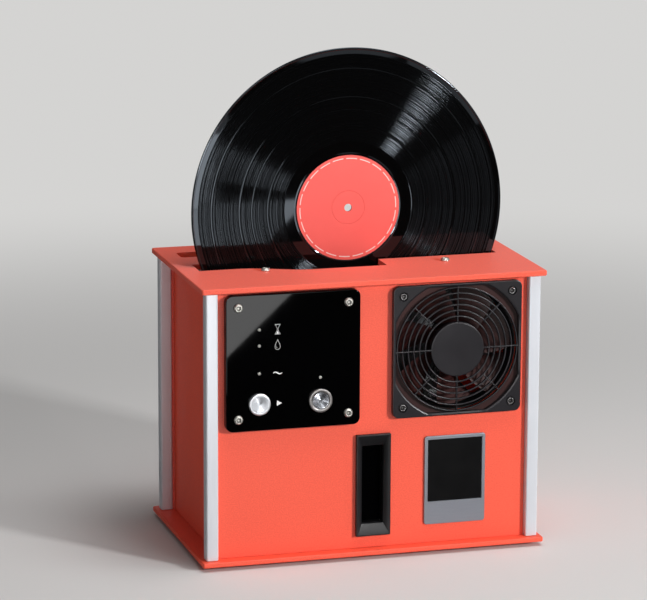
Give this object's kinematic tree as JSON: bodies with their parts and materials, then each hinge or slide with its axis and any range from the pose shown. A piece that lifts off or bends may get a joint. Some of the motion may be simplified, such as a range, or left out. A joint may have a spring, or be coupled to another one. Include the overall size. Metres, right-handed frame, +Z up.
{
  "type": "record cleaning machine",
  "caption": "Bench-top machine that washes a record between wet rollers in a bath and blows it dry, with a push-button panel and a fan in front.",
  "frame": {"origin": "centre of the machine's outline on the surface that it stands on", "axes": "+Z up, front panel facing -Y, +X to the right of someone facing the front"},
  "size_m": [0.329, 0.2, 0.4642],
  "materials": {
    "paint": "coral powder coat, fine texture, satin",
    "posts": "satin anodised, brushed lengthwise",
    "feet": "black rubber, matt",
    "fascia": "polished black acrylic",
    "clear": "clear plastic",
    "screws": "polished stainless steel",
    "caps": "spun stainless steel",
    "board": "green circuit board",
    "black": "black moulded plastic, fine grain",
    "badge": "satin grey metal",
    "vinyl": "grooved black vinyl",
    "label": "printed label paper, coral red",
    "bath": "grey moulded plastic",
    "fleece": "short off-white fleece",
    "gears": "white acetal",
    "motors": "plain metal",
    "hose": "translucent silicone",
    "filter": "blue filter foam between plastic caps"
  },
  "bodies": {
    "root": {"base_plate": "paint", "top_plate": "paint", "front_panel": "paint", "rear_panel": "paint", "left_panel": "paint", "right_panel": "paint", "post_front_left": "posts", "post_front_right": "posts", "post_rear_left": "posts", "post_rear_right": "posts", "foot_front_left": "feet", "foot_front_right": "feet", "foot_rear_left": "feet", "foot_rear_right": "feet", "control_panel": "fascia", "light_guide": "clear", "panel_screw_top_left": "screws", "panel_screw_top_right": "screws", "panel_screw_bottom_left": "screws", "panel_screw_bottom_right": "screws", "guard_screw_top_left": "screws", "guard_screw_top_right": "screws", "guard_screw_bottom_left": "screws", "guard_screw_bottom_right": "screws", "top_screw_left": "screws", "top_screw_right": "screws", "start_button_housing": "screws", "power_button_housing": "screws", "circuit_board": "board", "fan_guard": "black", "fan_frame": "black", "window_bezel": "black", "level_window": "clear", "badge_plate": "badge", "cleaning_bath": "bath", "roller_motor": "motors", "turning_motor": "motors", "ultrasonic_transducer": "motors", "water_tank": "bath", "drain_cap": "black", "water_pump": "black", "riser_hose": "hose", "filter_cartridge": "filter", "power_inlet": "black"},
    "start_button": {"start_button": "caps"},
    "power_button": {"power_button": "caps"},
    "fan_rotor": {"fan_rotor": "black"},
    "record": {"record": "vinyl", "record_label": "label"},
    "turning_roller": {"turning_roller": "feet"},
    "support_roller": {"support_roller": "feet"},
    "roller_front_left": {"roller_spindle_front_left": "gears", "roller_sleeve_front_left": "fleece"},
    "roller_front_right": {"roller_spindle_front_right": "gears", "roller_sleeve_front_right": "fleece"},
    "roller_rear_left": {"roller_spindle_rear_left": "gears", "roller_sleeve_rear_left": "fleece"},
    "roller_rear_right": {"roller_spindle_rear_right": "gears", "roller_sleeve_rear_right": "fleece"},
    "drive_pinion": {"drive_pinion": "gears"}
  },
  "joints": [
    {"name": "start_button_press", "type": "slide", "parent": "root", "child": "start_button", "axis": [0, 1, 0], "range_m": [0, 0.002], "stiffness_N_per_m": 500, "springref_m": -0.0015},
    {"name": "power_button_press", "type": "slide", "parent": "root", "child": "power_button", "axis": [0, 1, 0], "range_m": [0, 0.002], "stiffness_N_per_m": 500, "springref_m": -0.0015},
    {"name": "fan_spin", "type": "hinge", "parent": "root", "child": "fan_rotor", "pos_m": [0.0795, -0.0829, 0.1934], "axis": [0, -1, 0], "continuous": true},
    {"name": "record_spin", "type": "hinge", "parent": "root", "child": "record", "pos_m": [0, -0.003, 0.3137], "axis": [0, -1, 0], "continuous": true},
    {"name": "turning_roller_spin", "type": "hinge", "parent": "root", "child": "turning_roller", "pos_m": [-0.12318, -0.003, 0.21034], "axis": [0, -1, 0], "continuous": true},
    {"name": "support_roller_spin", "type": "hinge", "parent": "root", "child": "support_roller", "pos_m": [0.12318, -0.003, 0.21034], "axis": [0, -1, 0], "continuous": true},
    {"name": "roller_front_left_spin", "type": "hinge", "parent": "root", "child": "roller_front_left", "pos_m": [-0.02175, -0.015, 0.2], "axis": [0, 0, 1], "continuous": true},
    {"name": "roller_front_right_spin", "type": "hinge", "parent": "root", "child": "roller_front_right", "pos_m": [0.02175, -0.015, 0.2], "axis": [0, 0, 1], "continuous": true},
    {"name": "roller_rear_left_spin", "type": "hinge", "parent": "root", "child": "roller_rear_left", "pos_m": [-0.02175, 0.009, 0.2], "axis": [0, 0, 1], "continuous": true},
    {"name": "roller_rear_right_spin", "type": "hinge", "parent": "root", "child": "roller_rear_right", "pos_m": [0.02175, 0.009, 0.2], "axis": [0, 0, 1], "continuous": true},
    {"name": "drive_pinion_spin", "type": "hinge", "parent": "root", "child": "drive_pinion", "pos_m": [0, -0.015, 0.146], "axis": [0, 0, 1], "continuous": true}
  ],
  "couplings": [
    {"joint": "turning_roller_spin", "follows": "record_spin", "ratio": -15.05},
    {"joint": "support_roller_spin", "follows": "record_spin", "ratio": -15.05},
    {"joint": "roller_front_right_spin", "follows": "roller_front_left_spin", "ratio": 1},
    {"joint": "roller_rear_left_spin", "follows": "roller_front_left_spin", "ratio": -1},
    {"joint": "roller_rear_right_spin", "follows": "roller_front_left_spin", "ratio": -1},
    {"joint": "drive_pinion_spin", "follows": "roller_front_left_spin", "ratio": -1.2308}
  ]
}
